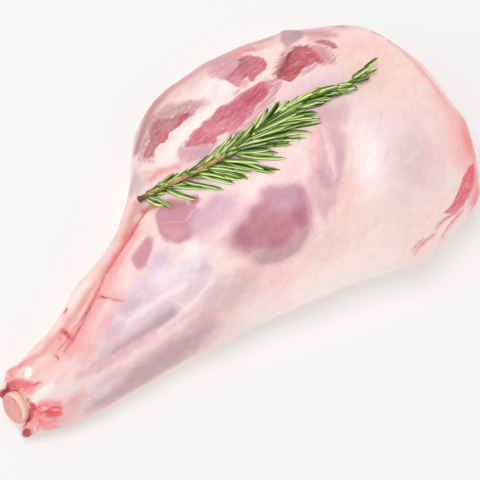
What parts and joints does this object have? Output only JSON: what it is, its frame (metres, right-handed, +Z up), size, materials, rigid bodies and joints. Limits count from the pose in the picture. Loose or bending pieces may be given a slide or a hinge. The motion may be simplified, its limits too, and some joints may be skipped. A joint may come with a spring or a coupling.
{
  "type": "raw goat leg",
  "caption": "Whole raw leg of goat or lamb with the shank on, lying on its side, with a round shank bone end and a sprig of rosemary laid across it.",
  "frame": {"origin": "centre of the bounding box, on the flat underside that lies on the board", "axes": "+X along the leg from the shank's bone end to the rump, +Y towards the flank side, +Z up from the board"},
  "size_m": [0.3744, 0.206, 0.0886],
  "materials": {
    "meat": "raw meat under pale fat and thin membrane, moist with a soft gloss",
    "bone": "raw bone end, moist and slightly rough",
    "rosemary": "fresh rosemary leaves, satin, on a brown woody stem"
  },
  "bodies": {
    "root": {"leg_meat": "meat", "shank_bone": "bone", "rosemary_sprig": "rosemary"}
  },
  "joints": []
}
